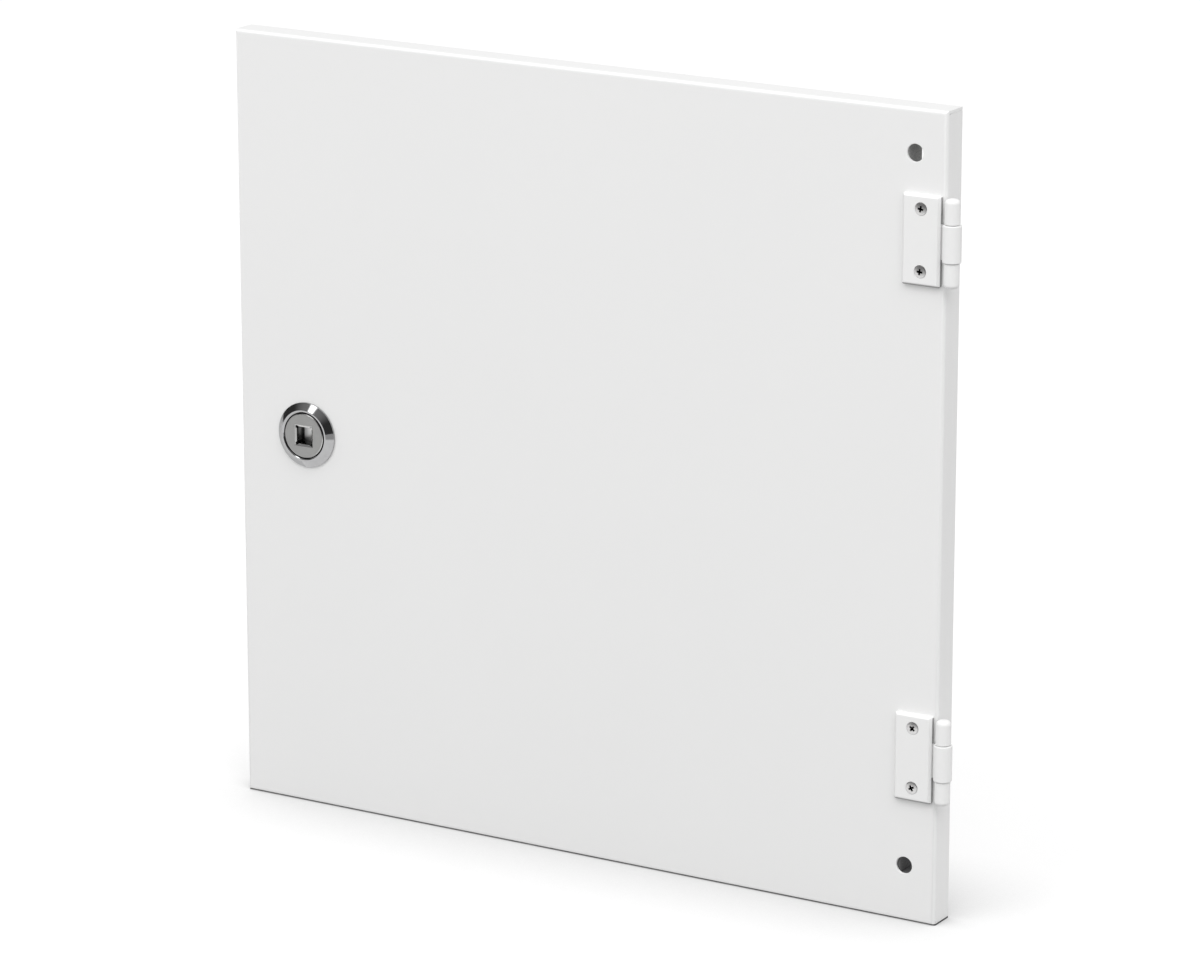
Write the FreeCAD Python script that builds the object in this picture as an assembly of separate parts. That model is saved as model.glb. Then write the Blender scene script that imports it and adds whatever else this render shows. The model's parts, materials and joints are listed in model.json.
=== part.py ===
import FreeCAD, Part
import math
import os

# A rack door: a folded sheet-steel pan, hung on two screwed-on barrel hinges and closed by a square-key
# quarter-turn lock. Millimetres. Z runs up the hinge axis, X to the right and Y into the cabinet.
# The origin lies on the hinge axis, at the foot of the lower hinge's barrel, and the door hangs left of it.
# The frame-side halves of the hinges are the outer knuckles and pins; all the rest swings with the door.

Vector = FreeCAD.Vector

# Door pan
door_width = 400.0
door_height = 400.0
door_depth = 15.0
sheet = 1.5
inner_bend_radius = 0.5
seam_gap = 0.4
seam_relief_radius = 0.6
flange_corner_radius = 1.0

# Corner holes, measured from the door's right, top and bottom edges
corner_hole_radius = 4.25
corner_hole_inset = 16.8
upper_hole_drop = 21.2
lower_hole_rise = 28.2

# Foam strips glued inside the pan
strip_width = 10.0
strip_height = 13.0
strip_hole_clearance = 0.3
strip_end_clearance = 1.0
lock_side_strip_inset = 8.0

# Hinges, placed from the door's bottom and top edges to the middle of each hinge
lower_hinge_rise = 84.2
upper_hinge_drop = 61.8
leaf_width = 20.0
leaf_height = 44.0
leaf_thickness = 3.0
leaf_bevel = 1.3
leaf_edge_inset = 1.85
middle_knuckle_radius = 4.5
middle_knuckle_length = 18.0
middle_knuckle_chamfer = 0.4
outer_knuckle_radius = 3.75
outer_knuckle_length = 12.0
outer_knuckle_chamfer = 0.6
knuckle_gap = 0.3
knuckle_bend_clearance = 0.45
neck_setback = 0.4
outer_knuckle_cap = 3.0
pin_radius = 2.0
pin_pocket = 0.5
pin_clearance = 0.05

# Hinge screws, washers and nuts
screw_pitch = 30.0
screw_radius = 2.0
screw_length = 10.0
screw_head_radius = 3.6
screw_head_dome = 0.45
countersink_clearance = 0.05
screw_hole_clearance = 0.15
recess_arm = 1.9
recess_width = 0.9
recess_depth = 1.6
recess_taper = 0.5
washer_radius = 4.5
washer_thickness = 0.8
nut_wall = 1.5
nut_thickness = 3.2
thread_clearance = 0.02

# Lock housing; the lock's axis is placed from the door's left and bottom edges
lock_inset = 40.0
lock_rise = 196.0
ring_height = 3.4
ring_skirt = 0.9
ring_bevel = 3.25
ring_land = 0.9
ring_lip_chamfer = 0.3
housing_wall = 2.95
housing_flat_depth = 1.0
housing_length = 19.5
housing_hole_clearance = 0.25
lock_nut_wall = 2.5
lock_nut_thickness = 6.0

# Lock core: the turning insert, its seal, stop washer, cam and screw
insert_radius = 11.5
insert_groove = 0.8
insert_head_thickness = 1.8
insert_edge = 0.35
insert_play = 0.2
key_square = 8.2
key_depth = 8.0
key_lead_in = 1.4
key_lead_in_depth = 0.9
key_corner_radius = 0.8
shaft_wall = 1.4
shaft_clearance = 0.05
seal_section = 1.5
seal_clearance = 0.05
seal_depth = 10.0
shank_square = 8.0
shank_clearance = 0.05
stop_angle = 90.0
stop_slack_angle = 1.5
stop_rim_height = 2.5
stop_lug_width = 5.0
stop_lug_setback = 0.5
stop_washer_clearance = 0.3
cam_thickness = 3.0
cam_width = 18.0
cam_reach = 36.0
cam_tip_radius = 3.0
cam_rim_clearance = 0.3
cam_clamp_gap = 0.3
cam_washer_radius = 8.0
cam_washer_thickness = 1.5
cam_screw_radius = 3.0
cam_screw_length = 14.0
cam_thread_runout = 1.3
cam_screw_head_flat = 5.0
cam_screw_head_height = 4.0
cam_screw_washer_clearance = 0.2

# The tolerance for finding edges, and how far cuts run past a face
near = 1e-6
through = 1.0

# Planes of the door, from the hinge axis
bend_radius = inner_bend_radius + sheet
door_front = leaf_thickness / 2
door_back = door_front + door_depth
sheet_back = door_front + sheet
knuckle_to_bend = middle_knuckle_radius + bend_radius + knuckle_bend_clearance
axis_outset = math.sqrt(knuckle_to_bend ** 2 - (door_front + bend_radius) ** 2) - bend_radius
door_right = -axis_outset
door_left = door_right - door_width
barrel_half = middle_knuckle_length / 2 + knuckle_gap + outer_knuckle_length
door_bottom = barrel_half - lower_hinge_rise
door_top = door_bottom + door_height

# Places of the holes, hinges and lock
hinge_middles = {"upper": door_top - upper_hinge_drop, "lower": door_bottom + lower_hinge_rise}
leaf_right = door_right - leaf_edge_inset
leaf_left = leaf_right - leaf_width
screw_line = (leaf_left + leaf_right) / 2
corner_hole_x = door_right - corner_hole_inset
upper_hole_z = door_top - upper_hole_drop
lower_hole_z = door_bottom + lower_hole_rise
lock_x = door_left + lock_inset
lock_z = door_bottom + lock_rise

# Radii round the lock's axis, from the key outwards
shaft_radius = key_square / math.sqrt(2) + key_corner_radius + shaft_wall
bore_radius = shaft_radius + shaft_clearance
housing_radius = bore_radius + housing_wall
housing_flat = housing_radius - housing_flat_depth
counterbore_radius = insert_radius + insert_groove
ring_lip_radius = counterbore_radius + ring_lip_chamfer
ring_land_radius = ring_lip_radius + ring_land
ring_radius = ring_land_radius + ring_bevel

# Depths along the lock's axis, counted from the door's front face
ring_front = -ring_height
insert_head_back = ring_front + insert_head_thickness
counterbore_floor = insert_head_back + insert_play
stop_floor = housing_length - stop_rim_height
stop_lug_angle = math.degrees(math.asin(stop_lug_width / 2 / bore_radius)) + stop_slack_angle
shaft_end = stop_floor + insert_play
cam_front = housing_length + cam_rim_clearance
cam_back = cam_front + cam_thickness
shank_end = cam_back - cam_clamp_gap
cam_screw_seat = cam_back + cam_washer_thickness


def block(x0, x1, y0, y1, z0, z1):
    """A rectangular block between two corners."""
    return Part.makeBox(x1 - x0, y1 - y0, z1 - z0, Vector(x0, y0, z0))


def edges_at_depth(shape, y):
    """The edges of a shape that lie in one plane across Y."""
    return [e for e in shape.Edges if abs(e.BoundBox.YMin - y) < near and abs(e.BoundBox.YMax - y) < near]


def edges_at_height(shape, z):
    """The edges of a shape that lie in one plane across Z."""
    return [e for e in shape.Edges if abs(e.BoundBox.ZMin - z) < near and abs(e.BoundBox.ZMax - z) < near]


def edges_at_side(shape, x):
    """The edges of a shape that lie in one plane across X."""
    return [e for e in shape.Edges if abs(e.BoundBox.XMin - x) < near and abs(e.BoundBox.XMax - x) < near]


def filled(points):
    """A flat face inside a closed outline of straight edges."""
    return Part.Face(Part.makePolygon(points + points[:1]))


def turned_on_y(profile, x, y, z):
    """A turned piece on an axis along Y, from (radius, depth) pairs with depth counted from y."""
    face = filled([Vector(radius, depth, 0) for radius, depth in profile])
    piece = face.revolve(Vector(0, 0, 0), Vector(0, 1, 0), 360)
    piece.translate(Vector(x, y, z))
    return piece


def bored_on_y(radius, y0, y1, x, z):
    """A cylinder along Y, as a hole's tool or a plain shank."""
    return Part.makeCylinder(radius, y1 - y0, Vector(x, y0, z), Vector(0, 1, 0))


def square_on_y(side, y0, y1, x, z):
    """A square bar along Y."""
    return block(x - side / 2, x + side / 2, y0, y1, z - side / 2, z + side / 2)


def hexagon_on_y(flat, y0, y1, x, z):
    """A hexagonal bar along Y, its flats a given way from the axis."""
    corner = 2 * flat / math.sqrt(3)
    turns = [math.tau * n / 6 for n in range(6)]
    outline = filled([Vector(x + corner * math.sin(t), y0, z + corner * math.cos(t)) for t in turns])
    return outline.extrude(Vector(0, y1 - y0, 0))


def sector_on_y(radius, start, sweep, y0, y1, x, z):
    """A slice of a cylinder along Y, from a start angle off X through a sweep the way the lock opens."""
    def rim(angle):
        turn = math.radians(angle)
        return Vector(x + radius * math.cos(turn), y0, z - radius * math.sin(turn))

    middle = Vector(x, y0, z)
    first, last = rim(start), rim(start + sweep)
    outline = Part.Wire([
        Part.makeLine(middle, first),
        Part.Arc(first, rim(start + sweep / 2), last).toShape(),
        Part.makeLine(last, middle),
    ])
    return Part.Face(outline).extrude(Vector(0, y1 - y0, 0))


def bent_block(x0, x1, y0, y1, z0, z1, radius):
    """A block with its four front edges rounded: the outside or the inside of the folded pan."""
    body = block(x0, x1, y0, y1, z0, z1)
    return body.makeFillet(radius, edges_at_depth(body, y0))


def side_flange_corners():
    """What comes off each end of the side flanges: a seam, its relief and a round rear corner."""
    seam_front = door_front + bend_radius
    rear = door_back + through
    tools = []
    for wall_left, wall_right in ((door_left, door_left + sheet), (door_right - sheet, door_right)):
        for edge, inward in ((door_bottom + sheet, 1), (door_top - sheet, -1)):
            seam_end = edge + inward * seam_gap
            low, high = sorted((edge, seam_end))
            tools.append(block(wall_left, wall_right, seam_front, rear, low, high))
            relief_start = Vector(wall_left, seam_front, (low + high) / 2)
            tools.append(Part.makeCylinder(seam_relief_radius, sheet, relief_start, Vector(1, 0, 0)))
            round_middle = seam_end + inward * flange_corner_radius
            low, high = sorted((seam_end, round_middle))
            round_front = door_back - flange_corner_radius
            square = block(wall_left, wall_right, round_front, rear, low, high)
            round_start = Vector(wall_left, round_front, round_middle)
            rounding = Part.makeCylinder(flange_corner_radius, sheet, round_start, Vector(1, 0, 0))
            tools.append(square.cut(rounding))
    return tools


def door_pan():
    """One sheet folded to four flanges. The side flanges butt between the top and bottom ones."""
    outside = bent_block(door_left, door_right, door_front, door_back, door_bottom, door_top, bend_radius)
    inside = bent_block(
        door_left + sheet, door_right - sheet, sheet_back, door_back + through,
        door_bottom + sheet, door_top - sheet, inner_bend_radius,
    )
    front = door_front - through
    back = sheet_back + through
    cuts = [inside] + side_flange_corners()
    for x, z in all_screw_places:
        cuts.append(bored_on_y(screw_radius + screw_hole_clearance, front, back, x, z))
    for z in (upper_hole_z, lower_hole_z):
        cuts.append(bored_on_y(corner_hole_radius, front, back, corner_hole_x, z))
    cuts.append(flatted_bar(housing_hole_clearance, front, back))
    return outside.cut(cuts)


def flatted_bar(clearance, y0, y1):
    """The lock housing's round body with two flats, which its hole in the door repeats with a clearance."""
    radius = housing_radius + clearance
    half = housing_flat + clearance
    sides = block(lock_x - half, lock_x + half, y0, y1, lock_z - radius, lock_z + radius)
    return bored_on_y(radius, y0, y1, lock_x, lock_z).common(sides)


def foam_strips():
    """Four foam strips that clear the corner holes: two run across the door, two butt between them."""
    back = sheet_back + strip_height
    left = door_left + sheet + strip_end_clearance
    right = door_right - sheet - strip_end_clearance
    upper = upper_hole_z + corner_hole_radius + strip_hole_clearance
    lower = lower_hole_z - corner_hole_radius - strip_hole_clearance
    lock_side = door_left + lock_side_strip_inset
    hinge_side = corner_hole_x - corner_hole_radius - strip_hole_clearance
    front = sheet_back
    return {
        "top_foam_strip": block(left, right, front, back, upper, upper + strip_width),
        "bottom_foam_strip": block(left, right, front, back, lower - strip_width, lower),
        "lock_side_foam_strip": block(lock_side, lock_side + strip_width, front, back, lower, upper),
        "hinge_side_foam_strip": block(hinge_side - strip_width, hinge_side, front, back, lower, upper),
    }


def screw_places(middle):
    """The two screws of one hinge, on the leaf's middle line."""
    return [(screw_line, middle + screw_pitch / 2), (screw_line, middle - screw_pitch / 2)]


def hinge_leaf(middle):
    """A cast leaf with bevelled front edges, a thinner neck and the barrel's middle knuckle."""
    front = -leaf_thickness / 2
    half_leaf = leaf_height / 2
    plate = block(leaf_left, leaf_right, front, door_front, middle - half_leaf, middle + half_leaf)
    plate = plate.makeChamfer(leaf_bevel, edges_at_depth(plate, front))
    half_knuckle = middle_knuckle_length / 2
    half_neck = half_knuckle - neck_setback
    neck = block(leaf_right, 0, front + leaf_bevel, door_front, middle - half_neck, middle + half_neck)
    foot = Vector(0, 0, middle - half_knuckle)
    knuckle = Part.makeCylinder(middle_knuckle_radius, middle_knuckle_length, foot)
    ends = edges_at_height(knuckle, foot.z) + edges_at_height(knuckle, foot.z + middle_knuckle_length)
    knuckle = knuckle.makeChamfer(middle_knuckle_chamfer, ends)
    leaf = plate.fuse([neck, knuckle]).removeSplitter()
    cuts = [Part.makeCylinder(pin_radius + pin_clearance, middle_knuckle_length, foot)]
    cuts += [screw_seat(x, z) for x, z in screw_places(middle)]
    return leaf.cut(cuts)


def screw_seat(x, z):
    """The countersunk hole that a hinge screw lies in."""
    head = screw_head_radius + countersink_clearance
    hole = screw_radius + screw_hole_clearance
    back = leaf_thickness + through
    profile = [(0, -through), (head, -through), (head, 0), (hole, head - hole), (hole, back), (0, back)]
    return turned_on_y(profile, x, -leaf_thickness / 2, z)


def outer_knuckle(seat, direction):
    """A frame-side knuckle: a plain barrel with a chamfered free end and a blind bore for the pin."""
    start = Vector(0, 0, seat)
    way = Vector(0, 0, direction)
    barrel = Part.makeCylinder(outer_knuckle_radius, outer_knuckle_length, start, way)
    free_end = edges_at_height(barrel, seat + direction * outer_knuckle_length)
    barrel = barrel.makeChamfer(outer_knuckle_chamfer, free_end)
    return barrel.cut(Part.makeCylinder(pin_radius, outer_knuckle_length - outer_knuckle_cap, start, way))


def hinge(name, middle):
    """One hinge: its leaf, its two frame-side knuckles and the pin pressed into them."""
    seat = middle_knuckle_length / 2 + knuckle_gap
    pin_half = seat + outer_knuckle_length - outer_knuckle_cap - pin_pocket
    return {
        name + "_hinge_leaf": hinge_leaf(middle),
        name + "_hinge_top_knuckle": outer_knuckle(middle + seat, 1),
        name + "_hinge_bottom_knuckle": outer_knuckle(middle - seat, -1),
        name + "_hinge_pin": Part.makeCylinder(pin_radius, 2 * pin_half, Vector(0, 0, middle - pin_half)),
    }


def recess_outline(shrink, y):
    """The cross of a screw's driver recess at one depth, drawn in by shrink at its arms' ends."""
    arm = recess_arm - shrink
    half = recess_width / 2
    corners = [(half, arm), (half, half), (arm, half), (arm, -half), (half, -half), (half, -arm)]
    points = [Vector(x, y, z) for x, z in corners]
    points += [Vector(-x, y, -z) for x, z in corners]
    return Part.makePolygon(points + points[:1])


def hinge_screw(x, z):
    """A raised countersunk screw with a cross recess that narrows as it goes down."""
    dome_radius = (screw_head_radius ** 2 + screw_head_dome ** 2) / (2 * screw_head_dome)
    half_turn = math.asin(screw_head_radius / dome_radius) / 2
    half_way = dome_radius * (1 - math.cos(half_turn)) - screw_head_dome
    crown = Part.Arc(
        Vector(0, -screw_head_dome, 0),
        Vector(dome_radius * math.sin(half_turn), half_way, 0),
        Vector(screw_head_radius, 0, 0),
    ).toShape()
    neck = screw_head_radius - screw_radius
    sides = Part.makePolygon([
        Vector(screw_head_radius, 0, 0), Vector(screw_radius, neck, 0),
        Vector(screw_radius, screw_length, 0), Vector(0, screw_length, 0), Vector(0, -screw_head_dome, 0),
    ])
    screw = Part.Face(Part.Wire([crown] + sides.Edges)).revolve(Vector(0, 0, 0), Vector(0, 1, 0), 360)
    mouth = recess_outline(0, -screw_head_dome)
    floor = recess_outline(recess_taper, recess_depth - screw_head_dome)
    screw = screw.cut(Part.makeLoft([mouth, floor], True, True))
    screw.translate(Vector(x, -leaf_thickness / 2, z))
    return screw


def hinge_washer(x, z):
    """A plain washer behind the sheet."""
    back = sheet_back + washer_thickness
    disc = bored_on_y(washer_radius, sheet_back, back, x, z)
    hole = screw_radius + screw_hole_clearance
    return disc.cut(bored_on_y(hole, sheet_back - through, back + through, x, z))


def hinge_nut(x, z):
    """A hexagon nut on the washer."""
    seat = sheet_back + washer_thickness
    back = seat + nut_thickness
    nut = hexagon_on_y(screw_radius + nut_wall, seat, back, x, z)
    return nut.cut(bored_on_y(screw_radius + thread_clearance, seat - through, back + through, x, z))


def lock_housing():
    """The bevelled ring and threaded body. A notch in the rear rim lets the stop washer turn a quarter."""
    ring = turned_on_y([
        (bore_radius, 0), (ring_radius, 0), (ring_radius, -ring_skirt), (ring_land_radius, ring_front),
        (ring_lip_radius, ring_front), (counterbore_radius, ring_front + ring_lip_chamfer),
        (counterbore_radius, counterbore_floor), (bore_radius, counterbore_floor),
    ], lock_x, door_front, lock_z)
    rear = door_front + housing_length
    body = flatted_bar(0, door_front, rear)
    bore = bored_on_y(bore_radius, door_front, rear, lock_x, lock_z)
    sweep = stop_angle + 2 * stop_lug_angle
    floor = door_front + stop_floor
    notch = sector_on_y(housing_radius + through, -stop_lug_angle, sweep, floor, rear, lock_x, lock_z)
    return ring.fuse(body.cut([bore, notch])).removeSplitter()


def lock_nut():
    """The hexagon nut that pulls the ring against the sheet."""
    back = sheet_back + lock_nut_thickness
    nut = hexagon_on_y(housing_radius + lock_nut_wall, sheet_back, back, lock_x, lock_z)
    thread = housing_radius + thread_clearance
    return nut.cut(bored_on_y(thread, sheet_back - through, back + through, lock_x, lock_z))


def lock_insert():
    """The turning insert: key socket in front, seal groove, and a square shank tapped for the cam screw."""
    groove_floor = shaft_radius - seal_section - seal_clearance
    groove_half = seal_section / 2 + seal_clearance
    profile = [
        (0, ring_front), (insert_radius - insert_edge, ring_front),
        (insert_radius, ring_front + insert_edge), (insert_radius, insert_head_back),
        (shaft_radius, insert_head_back),
        (shaft_radius, seal_depth - groove_half), (groove_floor, seal_depth - groove_half),
        (groove_floor, seal_depth + groove_half), (shaft_radius, seal_depth + groove_half),
        (shaft_radius, shaft_end), (0, shaft_end),
    ]
    insert = turned_on_y(profile, lock_x, door_front, lock_z)
    end = door_front + shank_end
    shank = square_on_y(shank_square, door_front + shaft_end, end, lock_x, lock_z)
    mouth = door_front + ring_front
    socket = square_on_y(key_square, mouth - through, mouth + key_depth, lock_x, lock_z)
    half_wide = key_square / 2 + key_lead_in
    half_narrow = key_square / 2
    lead_in = Part.makeWedge(
        -half_wide, 0, -half_wide, -half_narrow, -half_narrow,
        half_wide, key_lead_in_depth, half_wide, half_narrow, half_narrow,
        Vector(lock_x, mouth, lock_z),
    )
    thread = cam_screw_radius + thread_clearance
    thread_end = door_front + cam_screw_seat - cam_screw_length - cam_thread_runout
    tapped = bored_on_y(thread, thread_end, end + through, lock_x, lock_z)
    cuts = [socket, lead_in, tapped]
    for side_x in (-1, 1):
        for side_z in (-1, 1):
            x = lock_x + side_x * key_square / 2
            z = lock_z + side_z * key_square / 2
            cuts.append(bored_on_y(key_corner_radius, mouth - through, mouth + key_depth, x, z))
    return insert.fuse(shank).cut(cuts)


def lock_seal():
    """The square-cut rubber ring in the insert's groove."""
    half = seal_section / 2
    inner = shaft_radius - seal_section
    profile = [(inner, -half), (shaft_radius, -half), (shaft_radius, half), (inner, half)]
    return turned_on_y(profile, lock_x, door_front + seal_depth, lock_z)


def stop_washer():
    """A washer on the square shank whose lug turns in the housing's notch and ends the quarter turn."""
    front = door_front + shaft_end
    back = door_front + cam_front
    disc = bored_on_y(bore_radius - stop_washer_clearance, front, back, lock_x, lock_z)
    half = stop_lug_width / 2
    reach = housing_radius - stop_lug_setback
    lug = block(lock_x, lock_x + reach, front, back, lock_z - half, lock_z + half)
    hole = square_on_y(shank_square + 2 * shank_clearance, front - through, back + through, lock_x, lock_z)
    return disc.fuse(lug).removeSplitter().cut(hole)


def lock_cam():
    """A flat steel cam with a round hub and a blunt tip. Locked, it points at the door's free edge."""
    half = cam_width / 2
    tip = lock_x - cam_reach
    front = door_front + cam_front
    back = door_front + cam_back
    bar = block(tip, lock_x, front, back, lock_z - half, lock_z + half)
    corners = [e for e in edges_at_side(bar, tip) if e.BoundBox.ZLength < near]
    bar = bar.makeFillet(cam_tip_radius, corners)
    plate = bar.fuse(bored_on_y(half, front, back, lock_x, lock_z)).removeSplitter()
    side = shank_square + 2 * shank_clearance
    return plate.cut(square_on_y(side, front - through, back + through, lock_x, lock_z))


def cam_washer():
    """The washer that spreads the cam screw's pull over the cam."""
    front = door_front + cam_back
    back = door_front + cam_screw_seat
    hole = cam_screw_radius + cam_screw_washer_clearance
    disc = bored_on_y(cam_washer_radius, front, back, lock_x, lock_z)
    return disc.cut(bored_on_y(hole, front - through, back + through, lock_x, lock_z))


def cam_screw():
    """The hexagon screw that holds the cam on the shank."""
    seat = door_front + cam_screw_seat
    tip = seat - cam_screw_length
    head = hexagon_on_y(cam_screw_head_flat, seat, seat + cam_screw_head_height, lock_x, lock_z)
    return head.fuse(bored_on_y(cam_screw_radius, tip, seat, lock_x, lock_z)).removeSplitter()


all_screw_places = [place for middle in hinge_middles.values() for place in screw_places(middle)]

nodes = {"door_pan": door_pan()}
nodes.update(foam_strips())
for hinge_name, hinge_middle in hinge_middles.items():
    nodes.update(hinge(hinge_name, hinge_middle))
nodes["hinge_screws"] = Part.makeCompound([hinge_screw(x, z) for x, z in all_screw_places])
nodes["hinge_washers"] = Part.makeCompound([hinge_washer(x, z) for x, z in all_screw_places])
nodes["hinge_nuts"] = Part.makeCompound([hinge_nut(x, z) for x, z in all_screw_places])
nodes["lock_housing"] = lock_housing()
nodes["lock_nut"] = lock_nut()
nodes["lock_insert"] = lock_insert()
nodes["lock_seal"] = lock_seal()
nodes["stop_washer"] = stop_washer()
nodes["lock_cam"] = lock_cam()
nodes["cam_washer"] = cam_washer()
nodes["cam_screw"] = cam_screw()

os.makedirs("parts", exist_ok=True)
for node_name, shape in nodes.items():
    shape.exportStep(os.path.join("parts", node_name + ".step"))
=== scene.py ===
import json
import math

import bmesh
import bpy
from mathutils import Matrix, Vector, noise


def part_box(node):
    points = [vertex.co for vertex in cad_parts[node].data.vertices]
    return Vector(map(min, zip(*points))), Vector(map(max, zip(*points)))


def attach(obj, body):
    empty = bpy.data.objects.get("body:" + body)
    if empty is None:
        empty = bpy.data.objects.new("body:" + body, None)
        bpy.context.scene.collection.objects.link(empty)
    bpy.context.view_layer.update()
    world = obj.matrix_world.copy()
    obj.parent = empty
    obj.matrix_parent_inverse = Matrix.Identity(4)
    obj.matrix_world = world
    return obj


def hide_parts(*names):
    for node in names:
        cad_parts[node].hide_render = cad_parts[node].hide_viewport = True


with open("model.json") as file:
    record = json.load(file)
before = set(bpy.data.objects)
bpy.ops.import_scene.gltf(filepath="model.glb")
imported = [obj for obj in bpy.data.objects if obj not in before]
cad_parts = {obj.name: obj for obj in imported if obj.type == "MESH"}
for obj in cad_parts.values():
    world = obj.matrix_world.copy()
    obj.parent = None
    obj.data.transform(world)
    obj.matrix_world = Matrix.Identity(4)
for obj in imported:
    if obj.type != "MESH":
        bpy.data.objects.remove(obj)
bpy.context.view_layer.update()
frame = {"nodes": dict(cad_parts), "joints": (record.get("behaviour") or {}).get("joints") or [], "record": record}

# Door pan
# One sheet of 1.5 mm steel, cut flat, folded up on four sides to a shallow pan with open corner seams and
# powder-coated white. The lock, the hinge screws and two corner fixings each have a punched hole.

MM = 0.001  # lengths are millimetres until a shape becomes a piece, which is in metres
same_point = 1e-4  # points nearer than this are one
sliver = 0.002  # edges shorter than this, left by a cut, are dissolved
body_of = {node: body for body, nodes in frame["record"]["behaviour"]["bodies"].items() for node in nodes}
mounts = {mount["name"]: mount for mount in frame["record"]["mounts"]}
joints = {joint["name"]: joint for joint in frame["joints"]}
lock_axis = Vector(joints["lock_turn"]["pos_m"]) / MM


def box_of(node):
    """A CAD node's lowest and highest corners, in millimetres."""
    low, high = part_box(node)
    return low / MM, high / MM


def with_neighbours(points):
    """Each point of a closed outline, between the one before it and the one after it."""
    return zip(points[-1:] + points[:-1], points, points[1:] + points[:1])


def soft_corners(corners, steps=4):
    """The points of an outline of (across, along) corners; those with a radius too are rounded to arcs."""
    points = []
    for before, corner, after in with_neighbours(corners):
        tip, radius = Vector(corner[:2]), (*corner, 0)[2]
        if radius == 0:
            points.append(tip)
            continue
        back = (Vector(before[:2]) - tip).normalized()
        onward = (Vector(after[:2]) - tip).normalized()
        half = back.angle(onward) / 2
        middle = tip + (back + onward).normalized() * radius / math.sin(half)
        first = tip + back * radius / math.tan(half) - middle
        last = tip + onward * radius / math.tan(half) - middle
        sweep = first.angle(last)
        for step in range(steps + 1):
            share = step / steps
            arm = first * math.sin((1 - share) * sweep) + last * math.sin(share * sweep)
            points.append(middle + arm / math.sin(sweep))
    return points


def placed(name, data):
    """A new object in the scene."""
    thing = bpy.data.objects.new(name, data)
    bpy.context.scene.collection.objects.link(thing)
    return thing


def lofted(name, rings, place=Matrix.Identity(4), closed=False):
    """A piece in metres through rings of points in millimetres; a single point is a ring drawn together.

    Faces join each ring to the next. The last is joined to the first if closed, or else both are capped.
    """
    shape = bmesh.new()
    around = max(len(ring) for ring in rings)
    loops = [[shape.verts.new(point) for point in ring] for ring in rings]
    loops = [loop * around if len(loop) == 1 else loop for loop in loops]
    pairs = list(zip(loops, loops[1:] + loops[:1]))
    for one, other in pairs if closed else pairs[:-1]:
        for n in range(around):
            corners = list(dict.fromkeys((one[n - 1], one[n], other[n], other[n - 1])))
            if len(corners) > 2:
                shape.faces.new(corners)
    if not closed:
        shape.faces.new(loops[0])
        shape.faces.new(loops[-1])
    bmesh.ops.transform(shape, matrix=place, verts=shape.verts)
    bmesh.ops.remove_doubles(shape, verts=shape.verts, dist=same_point)
    bmesh.ops.recalc_face_normals(shape, faces=shape.faces)
    bmesh.ops.scale(shape, vec=(MM, MM, MM), verts=shape.verts)
    mesh = bpy.data.meshes.new(name)
    shape.to_mesh(mesh)
    shape.free()
    return placed(name, mesh)


def swept_round(name, sides, profile, corner_radius=0.0):
    """A piece of (inset, depth) points swept round a rectangle's left, right, bottom and top sides."""
    left, right, bottom, top = sides
    rings = []
    for inset, depth in profile:
        radius = max(corner_radius - inset, clear) if corner_radius else 0
        corners = [
            (left + inset, bottom + inset, radius), (right - inset, bottom + inset, radius),
            (right - inset, top - inset, radius), (left + inset, top - inset, radius),
        ]
        rings.append([(x, depth, z) for x, z in soft_corners(corners)])
    return lofted(name, rings)


def along_y(x, y, z):
    """The place of a turned shape whose axis runs into the cabinet from a point."""
    return Matrix.Translation((x, y, z)) @ Matrix.Rotation(math.radians(-90), 4, "X")


def turned(name, corners, place=Matrix.Identity(4), segments=48, steps=4):
    """A turned piece from its half section of (radius, along) corners, some with a rounding."""
    turns = [math.tau * n / segments for n in range(segments)]
    rings = []
    for radius, along in soft_corners(corners, steps):
        if radius < same_point:
            rings.append([(0, 0, along)])
        else:
            rings.append([(radius * math.cos(turn), radius * math.sin(turn), along) for turn in turns])
    return lofted(name, rings, place, closed=True)


def drill(radius, start, end, place=Matrix.Identity(4), segments=48):
    """A plain rod, as a tool for a straight hole."""
    return turned("drill", [(0, start), (radius, start), (radius, end), (0, end)], place, segments)


def stamped(name, outline, front, back, edge=0.0):
    """A flat piece cut to an outline of (x, z) points, with its edges broken a little."""
    levels = [(0, front), (0, back)]
    if edge:
        levels = [(edge, front), (0, front + edge), (0, back - edge), (edge, back)]
    points = [Vector(point) for point in outline]
    area = sum(a.x * b.y - b.x * a.y for a, b in zip(points, points[1:] + points[:1]))
    if area < 0:
        points.reverse()
    rings = []
    for inset, depth in levels:
        ring = []
        for before, point, after in with_neighbours(points):
            to_here = (point - before).normalized()
            to_next = (after - point).normalized()
            inward = (to_here.orthogonal() + to_next.orthogonal()) / (1 + to_here.dot(to_next))
            moved = point + inward * inset
            ring.append((moved.x, depth, moved.y))
        rings.append(ring)
    return lofted(name, rings)


def applied(piece):
    """Makes a piece's modifiers part of its mesh."""
    graph = bpy.context.evaluated_depsgraph_get()
    mesh = bpy.data.meshes.new_from_object(piece.evaluated_get(graph))
    piece.modifiers.clear()
    piece.data = mesh
    return piece


def shaped(piece, tools, way="DIFFERENCE"):
    """Cuts tools out of a piece, joins them to it, or keeps what they share."""
    for tool in tools:
        step = piece.modifiers.new(tool.name, "BOOLEAN")
        step.operation = way
        step.solver = "EXACT"
        step.object = tool
    applied(piece)
    for tool in tools:
        bpy.data.objects.remove(tool)
    return piece


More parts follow.
